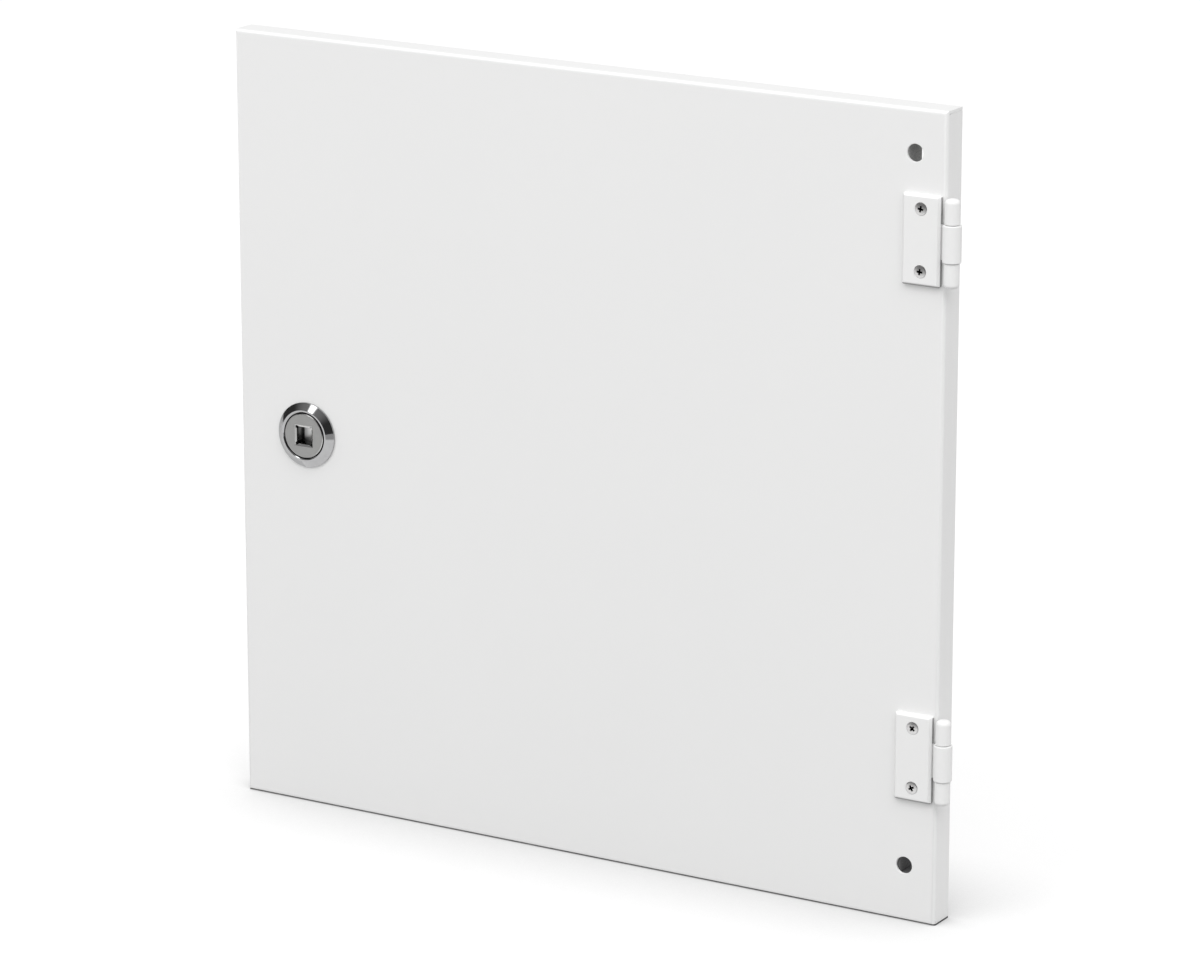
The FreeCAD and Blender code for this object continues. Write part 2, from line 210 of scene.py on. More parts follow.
def dressed(piece, node, finish, crease=32):
    """Cleans and shades a piece, and puts it in the place of its CAD node on that node's body."""
    shape = bmesh.new()
    shape.from_mesh(piece.data)
    bmesh.ops.remove_doubles(shape, verts=shape.verts, dist=sliver * MM)
    bmesh.ops.dissolve_degenerate(shape, dist=sliver * MM, edges=shape.edges)
    shape.to_mesh(piece.data)
    shape.free()
    piece.data.shade_smooth()
    piece.data.set_sharp_from_angle(angle=math.radians(crease))
    even = piece.modifiers.new("even_shading", "WEIGHTED_NORMAL")
    even.keep_sharp = True
    applied(piece)
    piece.data.materials.clear()
    piece.data.materials.append(finish)
    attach(piece, body_of[node])
    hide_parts(node)
    return piece


class Wire:
    """A socket in a finish. Sums and products of wires and numbers add Math nodes to that finish."""

    def __init__(self, tree, socket=None):
        self.tree = tree
        self.socket = socket

    def node(self, kind, settings, values, output=0):
        """A node of any kind: its settings are set first, then the values or wires of its sockets."""
        made = self.tree.nodes.new(kind)
        for name, setting in settings.items():
            setattr(made, name, setting)
        for name, value in values.items():
            if isinstance(value, Wire):
                self.tree.links.new(value.socket, made.inputs[name])
            else:
                made.inputs[name].default_value = value
        return Wire(self.tree, made.outputs[output])

    def math(self, operation, *values):
        return self.node("ShaderNodeMath", {"operation": operation}, dict(enumerate(values)))

    def vector(self, operation, *others):
        """Vector Math on this wire's vector and others."""
        output = "Value" if operation in ("DOT_PRODUCT", "LENGTH") else 0
        values = dict(enumerate((self, *others)))
        return self.node("ShaderNodeVectorMath", {"operation": operation}, values, output)

    def __add__(self, other):
        return self.math("ADD", self, other)

    __radd__ = __add__

    def __mul__(self, other):
        return self.math("MULTIPLY", self, other)

    __rmul__ = __mul__

    def __sub__(self, other):
        return self.math("SUBTRACT", self, other)

    def __rsub__(self, other):
        return self.math("SUBTRACT", other, self)

    def noise(self, scale, detail=2.0, roughness=0.5):
        """Cloudy noise over this wire's coordinates, with scale in clouds a metre."""
        return self.node("ShaderNodeTexNoise", {}, {
            "Vector": self, "Scale": scale, "Detail": detail, "Roughness": roughness,
        })

    def mixed(self, one, other):
        """A colour between two, each plain or wired, by this wire."""
        ends = [end if isinstance(end, Wire) else (*end, 1) for end in (one, other)]
        return self.node("ShaderNodeMix", {"data_type": "RGBA"}, {0: self, 6: ends[0], 7: ends[1]}, 2)

    def part(self, axis):
        """One coordinate of this wire's vector."""
        return self.node("ShaderNodeSeparateXYZ", {}, {"Vector": self}, axis)

    def ramp(self, start, end):
        """0 where this wire is before a start, 1 after an end, with a smooth step between."""
        return self.node("ShaderNodeMapRange", {"interpolation_type": "SMOOTHSTEP"}, {
            "Value": self, "From Min": start, "From Max": end,
        })

    def past(self, edge, blur):
        """1 where this wire is past an edge, 0 before it, over a blur."""
        return self.ramp(edge - blur / 2, edge + blur / 2)

    def between(self, low, high, blur):
        """1 where this wire is between two edges, 0 outside them, over a blur at each."""
        return self.past(low, blur) * (1 - self.past(high, blur))

    def relief(self, height):
        """A bumped surface, raised by this wire times a height in metres."""
        return self.node("ShaderNodeBump", {}, {"Height": self, "Distance": height}, "Normal")


def new_finish(name, constants):
    """A material, its shader with the sockets that stay constant, and a wire of its Object coordinates."""
    material = bpy.data.materials.new(name)
    material.use_nodes = True
    shader = material.node_tree.nodes["Principled BSDF"]
    for socket, value in constants.items():
        shader.inputs[socket].default_value = value
    place = Wire(material.node_tree).node("ShaderNodeTexCoord", {}, {}, "Object")
    return material, shader, place


def feed(shader, wires):
    """Links wires to a shader's sockets."""
    for socket, wire in wires.items():
        wire.tree.links.new(wire.socket, shader.inputs[socket])


def powder_coat(name, tone, shade, peel_size, peel_height, painted_shade_and_patches, shade_and_patch_colour):
    """Baked satin powder paint: a slow drift of tone, orange peel, fine grain, and a darker colour inside a mask
    that each caller gives: painted shade on the door and the leaves, random darker patches on the barrels.
    """
    material, shader, place = new_finish(name, {"IOR": 1.5})
    drift = place.noise(9.0, detail=3.0)
    peel = place.noise(1 / (peel_size * MM), detail=1.5)
    grain = place.noise(5200.0, detail=1.0)
    waviness = place.noise(22.0, detail=1.0)
    feed(shader, {
        # The darker colour is painted shade on the door and the leaves, and random patches on the barrels.
        "Base Color": painted_shade_and_patches(place).mixed(drift.mixed(shade, tone), shade_and_patch_colour),
        "Roughness": 0.36 + 0.08 * peel + 0.05 * grain,
        "Normal": (peel + 0.12 * grain + 6.0 * waviness).relief(peel_height * MM),
    })
    return material


sheet = 1.5
bend_radius = 2.0
inner_bend_radius = 0.5
rim_rounding = 0.35
seam_gap = 0.09
seam_relief_radius = 0.4
flange_corner_radius = 1.0
flat_margin = 6.0
mouth_rounding = 0.45
clear = 0.02  # a hair, so that two faces never lie in one plane
past = 1.0  # how far a tool runs out beyond what it cuts

pan_low, pan_high = box_of("door_pan")
pan_front, pan_back = pan_low.y, pan_high.y
sheet_back = pan_front + sheet
door_pan = swept_round("door_sheet", (pan_low.x, pan_high.x, pan_low.z, pan_high.z), soft_corners([
    (flat_margin, pan_front), (0, pan_front, bend_radius), (0, pan_back, rim_rounding),
    (sheet, pan_back, rim_rounding), (sheet, sheet_back, inner_bend_radius), (flat_margin, sheet_back),
], steps=8))


def punch(radius, x, z):
    """A tool for a punched hole, flared at both faces so that the paint rounds the hole's mouths."""
    wide = radius + 2 * mouth_rounding
    deep = sheet + clear
    return turned("punch", [
        (0, -past), (wide, -past), (wide, -clear), (radius, -clear, mouth_rounding),
        (radius, deep, mouth_rounding), (wide, deep), (wide, sheet + past), (0, sheet + past),
    ], along_y(x, pan_front, z), segments=64, steps=5)


def seam_tools(wall, edge, inward):
    """What opens one corner: the seam, its round relief and the side flange's rounded rear corner."""
    start, end = wall[0] - past, wall[1]
    seam_front, rear = pan_front + bend_radius, pan_back + past
    seam_end = edge + inward * seam_gap
    low, high = sorted((edge, seam_end))

    def through_wall(name, outline):
        return lofted(name, [[(x, y, z) for y, z in outline] for x in (start, end)])

    seam = through_wall("seam", [(seam_front, low), (rear, low), (rear, high), (seam_front, high)])
    middle = Matrix.Translation((0, seam_front, (low + high) / 2))
    along_x = middle @ Matrix.Rotation(math.radians(90), 4, "Y")
    relief = drill(seam_relief_radius, start, end, along_x, segments=24)
    radius, arc_steps = flange_corner_radius, 8
    outline = [(rear, seam_end - inward * clear), (rear, seam_end + inward * radius)]
    for step in range(arc_steps + 1):
        turn = math.radians(90 * step / arc_steps)
        outline.append((
            pan_back - radius + radius * math.cos(turn), seam_end + inward * radius * (1 - math.sin(turn))))
    outline.append((pan_back - radius, seam_end - inward * clear))
    return [seam, relief, through_wall("corner", outline)]


corner_mount = mounts["corner_holes"]
corner_middle = Vector(corner_mount["pos_m"]) / MM
corner_half_spacing = corner_mount["dims"]["spacing_y_mm"] / 2
corner_hole_radius = corner_mount["dims"]["hole_r_mm"]
screw_pitch = 30.0
screw_radius = 2.0
screw_hole_radius = 2.15
leaf_plate_width = 20.0
screw_places = []
for leaf in ("lower_hinge_leaf", "upper_hinge_leaf"):
    leaf_low, leaf_high = box_of(leaf)
    for way in (-0.5, 0.5):
        screw_z = (leaf_low.z + leaf_high.z) / 2 + way * screw_pitch
        screw_places.append((leaf_low.x + leaf_plate_width / 2, screw_z))

thread_radius = 11.0
thread_flat = 10.0
lock_hole_clearance = 0.25


def arc_round_lock(radius, first, last, steps):
    """The points of an arc round the lock's axis, from one angle to another in radians."""
    turns = [first + (last - first) * n / steps for n in range(steps + 1)]
    return [(lock_axis.x + radius * math.cos(turn), lock_axis.z + radius * math.sin(turn)) for turn in turns]


def flatted_circle(radius, flat):
    """A circle round the lock's axis, cut off by two upright flats."""
    left, right = lock_axis.x - flat, lock_axis.x + flat
    return [(max(left, min(right, x)), z) for x, z in arc_round_lock(radius, 0, math.tau, 96)[:-1]]


pan_tools = [
    punch(corner_hole_radius, corner_middle.x, corner_middle.z + way * corner_half_spacing) for way in (-1, 1)
]
pan_tools += [punch(screw_hole_radius, x, z) for x, z in screw_places]
lock_hole = flatted_circle(thread_radius + lock_hole_clearance, thread_flat + lock_hole_clearance)
pan_tools.append(stamped("lock_hole", lock_hole, pan_front - past, sheet_back + past))
for wall in ((pan_low.x, pan_low.x + sheet + clear), (pan_high.x - sheet - clear, pan_high.x + past)):
    for edge, inward in ((pan_low.z + sheet, 1), (pan_high.z - sheet, -1)):
        pan_tools += seam_tools(wall, edge, inward)
shaped(door_pan, pan_tools)

# Painted shadow: the door's lowest edge is coloured near-black, for the contact shadow where it stands on the
# floor.
foot_shade_height = 0.9
foot_shade_blur = 0.2


def painted_foot_shade(place):
    """The lowest edge of the bottom bend, which the door stands on: painted near-black as the contact shadow where
    it meets the floor.
    """
    return 1 - place.part("Z").past((pan_low.z + foot_shade_height) * MM, blur=foot_shade_blur * MM)


door_white = powder_coat(
    "white_powder_coat", tone=(0.815, 0.815, 0.813), shade=(0.800, 0.800, 0.798),
    peel_size=1.5, peel_height=0.006, painted_shade_and_patches=painted_foot_shade, shade_and_patch_colour=(0.01, 0.01, 0.01))
dressed(door_pan, "door_pan", door_white)

# Foam strips
# Four lengths of black closed-cell foam tape, glued inside the pan against the frame's edge.
# Cut square with a knife, they are soft: the edges round over and the long faces are a little uneven.

foam_rounding = 0.5
foam_unevenness = 0.12
foam_step = 4.0
foam_hollow = 0.1
foam_wave = 9.0
foam_end_share = 0.6
foam_shift = {"hinge_side_foam_strip": (1.9, 0.9)}
# Painted light: the foam's colour grows lighter towards the top, where more light falls on it.
painted_light_heights = (-0.04, 0.32)


def foam_strip(node):
    """One strip: a rounded section swept along the longest side of its CAD block, with soft ends."""
    low, high = box_of(node)
    upright = high.z - low.z > high.x - low.x
    start, end = (low.z, high.z) if upright else (low.x, high.x)
    left, right = (low.x, high.x) if upright else (low.z, high.z)
    middle = (left + right) / 2
    count = round((end - start) / foam_step)
    arc = [math.radians(turn) for turn in (0, 30, 60, 90)]
    ends = [(foam_rounding * (1 - math.cos(turn)), foam_rounding * (1 - math.sin(turn))) for turn in arc]
    rows = [(start + along, draw) for along, draw in ends]
    rows += [(start + (end - start) * n / count, 0) for n in range(1, count)]
    rows += [(end - along, draw) for along, draw in reversed(ends)]
    lower_shift, upper_shift = foam_shift.get(node, (0.0, 0.0))
    rings = []
    for station, draw in rows:
        aside = lower_shift + (upper_shift - lower_shift) * (station - start) / (end - start)
        ring = []
        for across, depth in soft_corners([
            (left + draw, low.y, clear), (right - draw, low.y, clear),
            (right - draw, high.y - draw, foam_rounding), (left + draw, high.y - draw, foam_rounding),
        ], steps=5):
            rise = (depth - low.y) / (high.y - low.y)
            point = Vector((across, depth, station)) if upright else Vector((station, depth, across))
            wander = noise.noise(point / foam_wave) * 0.5 + 0.5
            waist = foam_hollow * math.sin(math.pi * min(rise, 1))
            pull = foam_unevenness * wander * min(1, 3 * rise) + waist
            if draw:
                pull *= foam_end_share
            moved = across + math.copysign(min(pull, abs(across - middle)), middle - across) + aside
            sunk = depth - foam_unevenness * wander * rise
            ring.append((moved, sunk, station) if upright else (station, sunk, moved))
        rings.append(ring)
    return lofted(node.replace("foam_strip", "foam"), rings)


def black_foam():
    """Fine closed cells: small dimples and lighter cell walls, with painted light that makes the foam lighter
    towards the top.
    """
    material, shader, place = new_finish("black_foam", {"Specular IOR Level": 0.25})
    cells = place.node("ShaderNodeTexVoronoi", {"feature": "F1"}, {"Vector": place, "Scale": 1900.0})
    pores = place.noise(650.0, detail=3.0)
    walls = 0.6 * cells + 0.5 * pores
    lower_foam = walls.mixed((0.045, 0.045, 0.046), (0.155, 0.155, 0.157))
    painted_light_foam = walls.mixed((0.11, 0.11, 0.11), (0.38, 0.38, 0.375))
    feed(shader, {
        "Base Color": place.part("Z").ramp(*painted_light_heights).mixed(lower_foam, painted_light_foam),
        "Roughness": 0.82 + 0.12 * pores,
        "Normal": (cells + 1.5 * pores).relief(0.12 * MM),
    })
    return material


foam_finish = black_foam()
for node in ("top_foam_strip", "bottom_foam_strip", "lock_side_foam_strip", "hinge_side_foam_strip"):
    strip = dressed(foam_strip(node), node, foam_finish, crease=60)

# Hinge leaves
# A zinc casting, painted white: a bevelled plate with two countersunk holes, a thinner neck and the barrel's
# middle knuckle, all in one. Two screws hold it flat on the door's face.

leaf_thickness = 3.0
leaf_bevel = 1.3
leaf_corner_radius = 1.1
leaf_rounding = 0.4
leaf_back_rounding = 0.05
leaf_flat_margin = 2.0
knuckle_half = 9.0
knuckle_rounding = 0.55
neck_half = 8.6
neck_rounding = 0.35
neck_drop = 0.55
neck_overlap = 1.0
pin_bore_radius = 2.05
countersink_radius = 3.3
countersink_rounding = 0.25
under_shade_height = 0.75
slot_shade_inset = 0.1
slot_shade_end = -4.4
slot_shade_depth = -0.2
neck_shade_relief = 0.65
hinge_paint = {
    "tone": (0.825, 0.825, 0.822), "shade": (0.808, 0.808, 0.805), "peel_size": 1.1, "peel_height": 0.008,
}


def hinge_leaf(name, node):
    """Plate, neck and knuckle joined into one casting, then bored and countersunk."""
    low, high = box_of(node)
    middle = (low.z + high.z) / 2
    front, back = -leaf_thickness / 2, leaf_thickness / 2
    neck_front = front + leaf_bevel + neck_drop
    plate_right = low.x + leaf_plate_width
    leaf_piece = swept_round(name, (low.x, plate_right, low.z, high.z), soft_corners([
        (leaf_bevel + leaf_flat_margin, front), (leaf_bevel, front, leaf_rounding),
        (0, front + leaf_bevel, leaf_rounding), (0, back, leaf_back_rounding), (leaf_bevel, back),
    ]), leaf_corner_radius)
    neck_sides = (plate_right - neck_overlap, 0, middle - neck_half, middle + neck_half)
    neck = swept_round("neck", neck_sides, soft_corners([
        (neck_rounding + past, neck_front), (0, neck_front, neck_rounding),
        (0, back - clear, neck_rounding), (neck_rounding + past, back - clear),
    ]))
    foot, head = middle - knuckle_half, middle + knuckle_half
    knuckle = turned("knuckle", [
        (0, foot), (high.x, foot, knuckle_rounding), (high.x, head, knuckle_rounding), (0, head),
    ], segments=72)
    shaped(leaf_piece, [neck, knuckle], "UNION")
    bore = drill(pin_bore_radius, foot - past, head + past)
    wide = countersink_radius + 2 * countersink_rounding
    seat_depth = countersink_radius - screw_hole_radius
    through = leaf_thickness + past
    seats = [turned("seat", [
        (0, -past), (wide, -past), (wide, -clear), (countersink_radius, -clear, countersink_rounding),
        (screw_hole_radius, seat_depth), (screw_hole_radius, through), (0, through),
    ], along_y(x, front, z), segments=64) for x, z in screw_places if low.z < z < high.z]
    return shaped(leaf_piece, [bore] + seats)


def leaf_paint(node):
    """The leaf's paint, with painted shade under its lowest edge and in the slot beside the barrel, and less of it
    on the neck.
    """
    low, high = box_of(node)
    middle = (low.z + high.z) / 2
    plate_right = low.x + leaf_plate_width

    # Painted shade: under the leaf and in the slot beside the barrel the paint is coloured darker, where shade
    # falls.
    def painted_shade_and_patches(place):
        across, depth, height = (place.part(axis) for axis in "XYZ")
        under = 1 - height.past((low.z + under_shade_height) * MM, blur=0.5 * MM)
        slot = across.past((plate_right - slot_shade_inset) * MM, blur=0.2 * MM)
        slot *= 1 - across.past(slot_shade_end * MM, blur=0.5 * MM)
        neck = height.between((middle - neck_half) * MM, (middle + neck_half) * MM, blur=0.3 * MM)
        return under + slot * depth.past(slot_shade_depth * MM, blur=0.3 * MM) * (1 - neck_shade_relief * neck)

    return powder_coat(node + "_paint", **hinge_paint, painted_shade_and_patches=painted_shade_and_patches, shade_and_patch_colour=(0.30, 0.30, 0.30))


for hinge in ("upper", "lower"):
    leaf_node = hinge + "_hinge_leaf"
    dressed(hinge_leaf(hinge + "_leaf", leaf_node), leaf_node, leaf_paint(leaf_node))

# Outer knuckles
# The frame-side half of each hinge: two turned steel barrels, painted white, rounded at the free end and
# bored blind to take the pin.

barrel_rounding = 2.2
barrel_seat_rounding = 0.3
pin_radius = 2.0
barrel_cap = 3.0


def patchy(place):
    """A few patches, where the paint is a shade darker."""
    return place.noise(14.0, detail=1.0).past(0.72, blur=0.1)


hinge_white = powder_coat("white_hinge_paint", **hinge_paint, painted_shade_and_patches=patchy, shade_and_patch_colour=(0.79, 0.79, 0.787))


def outer_knuckle(name, node, way):
    """One barrel, with its free end up or down."""
    low, high = box_of(node)
    seat, free = (low.z, high.z) if way > 0 else (high.z, low.z)
    cap = free - way * barrel_cap
    return turned(name, [
        (pin_radius, seat), (high.x, seat, barrel_seat_rounding), (high.x, free, barrel_rounding),
        (0, free), (0, cap), (pin_radius, cap),
    ], segments=72, steps=6)


for hinge in ("upper", "lower"):
    for end, way in (("top", 1), ("bottom", -1)):
        barrel_node = f"{hinge}_hinge_{end}_knuckle"
        dressed(outer_knuckle(f"{hinge}_{end}_barrel", barrel_node, way), barrel_node, hinge_white)

# Hinge pins
# Plain ground steel, pressed into the outer knuckles. Only a hair of each shows, in the gaps of the barrel.


def ground_steel():
    """Bright steel with faint grinding rings round the pin's axis."""
    material, shader, place = new_finish("ground_steel", {"Metallic": 1.0})
    stretched = place.node("ShaderNodeMapping", {}, {"Vector": place, "Scale": (1.0, 1.0, 60.0)})
    rings = stretched.noise(120.0, detail=3.0)
    feed(shader, {
        "Base Color": rings.mixed((0.50, 0.50, 0.51), (0.64, 0.64, 0.65)),
        "Roughness": 0.22 + 0.15 * rings,
        "Normal": rings.relief(0.004 * MM),
    })
    return material


pin_finish = ground_steel()
for hinge in ("upper", "lower"):
    pin = frame["nodes"][hinge + "_hinge_pin"]
    pin.data.materials.clear()
    pin.data.materials.append(pin_finish)

# Hinge screws, washers and nuts
# Nickel-plated raised countersunk screws with a cross recess, through leaf and sheet, each with a zinc-plated
# washer and nut behind. Every head stopped at its own angle.

head_radius = 3.15
head_dome = 0.45
head_edge = 0.12
recess_arm = 1.6
recess_half_width = 0.52
recess_depth = 1.6
recess_flare = 1.1
recess_floor_share = 0.62
screw_thread_pitch = 0.7
screw_length = 10.0
screw_lap = 0.3
thread_depth_share = 0.6
nut_face_share = 0.97
nut_corner_margin = 0.3
nut_lead_share = 0.12
washer_edge = 0.15


def threaded_rod(name, radius, pitch, start, end, place, around, rows_a_turn=8, flat=None):
    """A rod with a helical thread from start to end along its axis, chamfered at its ends."""
    depth = thread_depth_share * pitch
    rows = round((end - start) / pitch * rows_a_turn)
    rings = []
    for row in range(rows + 1):
        along = start + (end - start) * row / rows
        lead = depth - min(along - start, end - along)
        ring = []
        for n in range(around):
            turn = n / around
            slope = abs(2 * ((along / pitch - turn) % 1) - 1)
            flank = min(max(1.3 * slope - 0.15, 0), 1)  # leaves narrow flats at crest and root
            reach = min(radius - depth * flank, radius - max(lead, 0))
            x = reach * math.cos(math.tau * turn)
            if flat:
                x = max(-flat, min(flat, x))
            ring.append((x, reach * math.sin(math.tau * turn), along))
        rings.append(ring)
    return lofted(name, rings, place)


def cross_recess():
    """The tapering cross that a driver fits, as a tool."""
    half = recess_half_width
    rings = []
    for arm, depth in (
        (recess_arm * recess_flare, -head_dome - past), (recess_arm, -head_dome),
        (recess_arm * recess_floor_share, recess_depth - head_dome),
    ):
        ring = []
        for turn in range(4):
            spin = Matrix.Rotation(math.radians(-90 * turn), 2)
            quarter = [spin @ Vector(corner) for corner in ((half, arm), (half, half), (arm, half))]
            ring += [(corner.x, depth, corner.y) for corner in quarter]
        rings.append(ring)
    return lofted("recess", rings)


def screw_shape():
    """A raised countersunk screw with its head's rim at the origin and its tip along Y."""
    dome_radius = (head_radius ** 2 + head_dome ** 2) / (2 * head_dome)
    widest = math.asin(head_radius / dome_radius)
    turns = [widest * n / 8 for n in range(8)]
    dome = [
        (dome_radius * math.sin(turn), dome_radius * (1 - math.cos(turn)) - head_dome) for turn in turns
    ]
    neck = head_radius - screw_radius
    head = turned("screw", dome + [
        (head_radius, 0, head_edge), (screw_radius - screw_lap, neck + screw_lap), (0, neck + screw_lap),
    ], along_y(0, 0, 0))
    shank = threaded_rod(
        "shank", screw_radius, screw_thread_pitch, neck, screw_length, along_y(0, 0, 0),
        around=28, rows_a_turn=6)
    shaped(head, [shank], "UNION")
    return shaped(head, [cross_recess()])


def half_width(node):
    """Half of a CAD node's width."""
    low, high = box_of(node)
    return (high.x - low.x) / 2


def washer_shape(outer, inner, front, back, edge):
    """A punched washer, its edges rolled over a little."""
    return turned("washer", [
        (inner, front), (outer, front, edge), (outer, back, edge), (inner, back),
    ], along_y(0, 0, 0), segments=56)


def nut_shape(flat, bore, front, back, blunt_front=False):
    """A hexagon nut or bolt head, with its corners turned off at 30 degrees on each face that isn't blunt."""
    tip = 2 * flat / math.sqrt(3)
    turns = [math.radians(60 * n) for n in range(6)]
    hexagon = stamped("nut", [(tip * math.sin(turn), tip * math.cos(turn)) for turn in turns], front, back)
    face, corner = flat * nut_face_share, tip + nut_corner_margin
    drop = (corner - flat) * math.tan(math.radians(30))
    near = [(0, front), (face, front), (corner, front + drop)]
    if blunt_front:
        near = [(0, front - past), (corner, front - past)]
    far = [(corner, back - drop), (face, back), (0, back)]
    nut = shaped(hexagon, [turned("rounding", near + far, along_y(0, 0, 0), segments=96)], "INTERSECT")
    if bore:
        lead = nut_lead_share * bore
        wide = bore + lead + past
        shaped(nut, [turned("bore", [
            (0, front - past), (wide, front - past), (bore, front + lead),
            (bore, back - lead), (wide, back + past), (0, back + past),
        ], along_y(0, 0, 0), segments=64)])
    return nut


def fixing_pattern():
    """Geometry nodes that set one shape at every hinge screw, each turned by its own angle."""
    tree = bpy.data.node_groups.new("hinge_fixings", "GeometryNodeTree")
    inputs = {
        "First Screw": "NodeSocketVector", "Screw Pitch": "NodeSocketFloat",
        "Hinge Spacing": "NodeSocketFloat", "Largest Turn": "NodeSocketFloat",
        "Shape": "NodeSocketObject", "Finish": "NodeSocketMaterial",
    }
    keys = {
        name: tree.interface.new_socket(name=name, in_out="INPUT", socket_type=kind).identifier
        for name, kind in inputs.items()
    }
    tree.interface.new_socket(name="Geometry", in_out="OUTPUT", socket_type="NodeSocketGeometry")
    group = tree.nodes.new("NodeGroupInput")
    given = {name: Wire(tree, group.outputs[name]) for name in inputs}
    node = Wire(tree).node
    upward = node("ShaderNodeCombineXYZ", {}, {"Z": given["Screw Pitch"]})
    higher = node("ShaderNodeCombineXYZ", {}, {"Z": given["Hinge Spacing"]})
    pair = node("GeometryNodeMeshLine", {}, {
        "Count": 2, "Start Location": given["First Screw"], "Offset": upward})
    hinges = node("GeometryNodeMeshLine", {}, {"Count": 2, "Offset": higher})
    places = node("GeometryNodeInstanceOnPoints", {}, {"Points": hinges, "Instance": pair})
    points = node("GeometryNodeRealizeInstances", {}, {"Geometry": places})
    angle = node("FunctionNodeRandomValue", {"data_type": "FLOAT"}, {
        "Max": given["Largest Turn"], "Seed": 7}, "Value")
    spin = node("ShaderNodeCombineXYZ", {}, {"Y": angle})
    source = node("GeometryNodeObjectInfo", {}, {"Object": given["Shape"]}, "Geometry")
    copies = node("GeometryNodeInstanceOnPoints", {}, {
        "Points": points, "Instance": source, "Rotation": spin})
    solid = node("GeometryNodeRealizeInstances", {}, {"Geometry": copies})
    painted = node("GeometryNodeSetMaterial", {}, {"Geometry": solid, "Material": given["Finish"]})
    feed(tree.nodes.new("NodeGroupOutput"), {"Geometry": painted})
    return tree, keys


fixing_tree, fixing_keys = fixing_pattern()


def at_every_screw(name, shape, depth, turn, finish):
    """Copies of a shape at all the hinge screws, in one plain mesh."""
    lowest = min(screw_places, key=lambda place: place[1])
    hinge_spacing = box_of("upper_hinge_leaf")[0].z - box_of("lower_hinge_leaf")[0].z
    piece = placed(name, bpy.data.meshes.new(name))
    pattern = piece.modifiers.new("pattern", "NODES")
    pattern.node_group = fixing_tree
    for key, value in {
        "First Screw": [lowest[0] * MM, depth * MM, lowest[1] * MM], "Screw Pitch": screw_pitch * MM,
        "Hinge Spacing": hinge_spacing * MM, "Largest Turn": turn, "Shape": shape, "Finish": finish,
    }.items():
        pattern[fixing_keys[key]] = value
    applied(piece)
    bpy.data.objects.remove(shape)
    return piece


def plated(name, dark, light, roughness, cloud_size, recess=None):
    """A plated finish: slow clouds and fine scuffs. Between a recess's two depths it is painted black, for the
    shade inside the recess.
    """
    material, shader, place = new_finish(name, {"Metallic": 1.0})
    clouds = place.noise(1 / (cloud_size * MM), detail=3.0)
    scuffs = place.noise(2600.0, detail=4.0, roughness=0.7)
    colour = clouds.mixed(dark, light)
    if recess:
        # Painted shade: the cross recess is coloured black, where shade falls inside it.
        recess_shade = place.part("Y").between(recess[0] * MM, recess[1] * MM, blur=0.25 * MM)
        colour = recess_shade.mixed(colour, (0.02, 0.02, 0.02))
    feed(shader, {
        "Base Color": colour,
        "Roughness": roughness + 0.12 * clouds + 0.10 * scuffs,
        "Normal": (scuffs + 2.0 * clouds).relief(0.006 * MM),
    })
    return material


leaf_face = -leaf_thickness / 2
nickel = plated(
    "nickel_plate", dark=(0.60, 0.595, 0.59), light=(0.78, 0.775, 0.77), roughness=0.26, cloud_size=2.0,
    recess=(leaf_face + clear, leaf_face + recess_depth))
zinc = plated("zinc_plate", dark=(0.55, 0.57, 0.60), light=(0.70, 0.69, 0.66), roughness=0.27, cloud_size=5.0)
screws = at_every_screw("hinge_screw_set", screw_shape(), leaf_face, turn=1.5, finish=nickel)
dressed(screws, "hinge_screws", nickel)

washer_low, washer_high = box_of("hinge_washers")
washer = washer_shape(
    half_width("hinge_washers"), screw_hole_radius, 0, washer_high.y - washer_low.y, washer_edge)
washers = at_every_screw("hinge_washer_set", washer, washer_low.y, turn=1.5, finish=zinc)
dressed(washers, "hinge_washers", zinc)

nut_low, nut_high = box_of("hinge_nuts")
nut = nut_shape(half_width("hinge_nuts"), screw_radius + clear, 0, nut_high.y - nut_low.y)
nuts = at_every_screw("hinge_nut_set", nut, nut_low.y, turn=1.0, finish=zinc)
dressed(nuts, "hinge_nuts", zinc)

# Lock housing
# A zinc die casting, polished and chromed: a bevelled ring on the door's face, a threaded body with two flats
# through the sheet, and a notch in the rear rim that stops the quarter turn.

housing_low, housing_high = box_of("lock_housing")
ring_radius = half_width("lock_housing")
ring_front = housing_low.y
ring_skirt = 0.9
ring_skirt_rounding = 0.18
ring_land_radius = 13.3
ring_land_rounding = 0.25
ring_lip_radius = 12.5
ring_lip_rounding = 0.12
ring_lip_depth = 0.4
counterbore_radius = 12.05
counterbore_floor = ring_front + 2.0
core_bore_radius = 8.05
housing_thread_pitch = 1.5
thread_start = sheet_back - 0.6
collar_front = pan_front - 0.5
collar_back = thread_start + 0.8
notch_floor = housing_high.y - 2.5
notch_margin_angle = 19.6
at_lock = along_y(lock_axis.x, 0, lock_axis.z)  # the place of a turned lock piece


